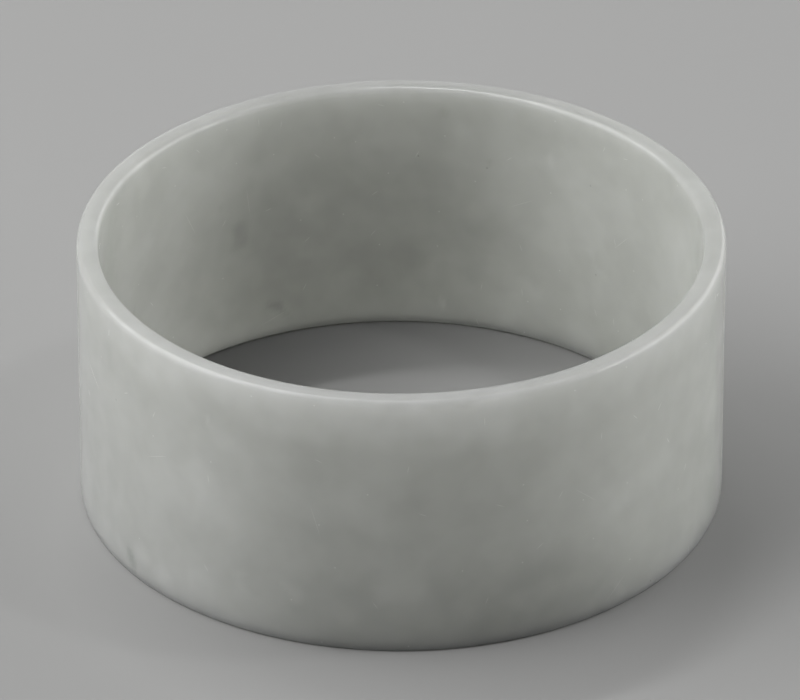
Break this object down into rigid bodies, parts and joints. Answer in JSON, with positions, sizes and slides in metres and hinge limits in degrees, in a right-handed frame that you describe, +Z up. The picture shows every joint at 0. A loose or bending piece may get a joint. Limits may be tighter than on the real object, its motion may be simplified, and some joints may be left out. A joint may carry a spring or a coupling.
{
  "type": "armlet",
  "caption": "Broad plain jade armlet: a thin-walled open band with straight sides, a flat rim and foot, and small softened bevels.",
  "frame": {"origin": "middle of the band's footprint, on the plane that it stands on", "axes": "+Z up along the bore, -Y towards the pictured side, +X to the picture's right"},
  "size_m": [0.0766, 0.0764, 0.0333],
  "materials": {
    "jade": "satin polish, faintly translucent, pale grey with soft clouds"
  },
  "bodies": {
    "root": {"armlet": "jade"}
  },
  "joints": []
}
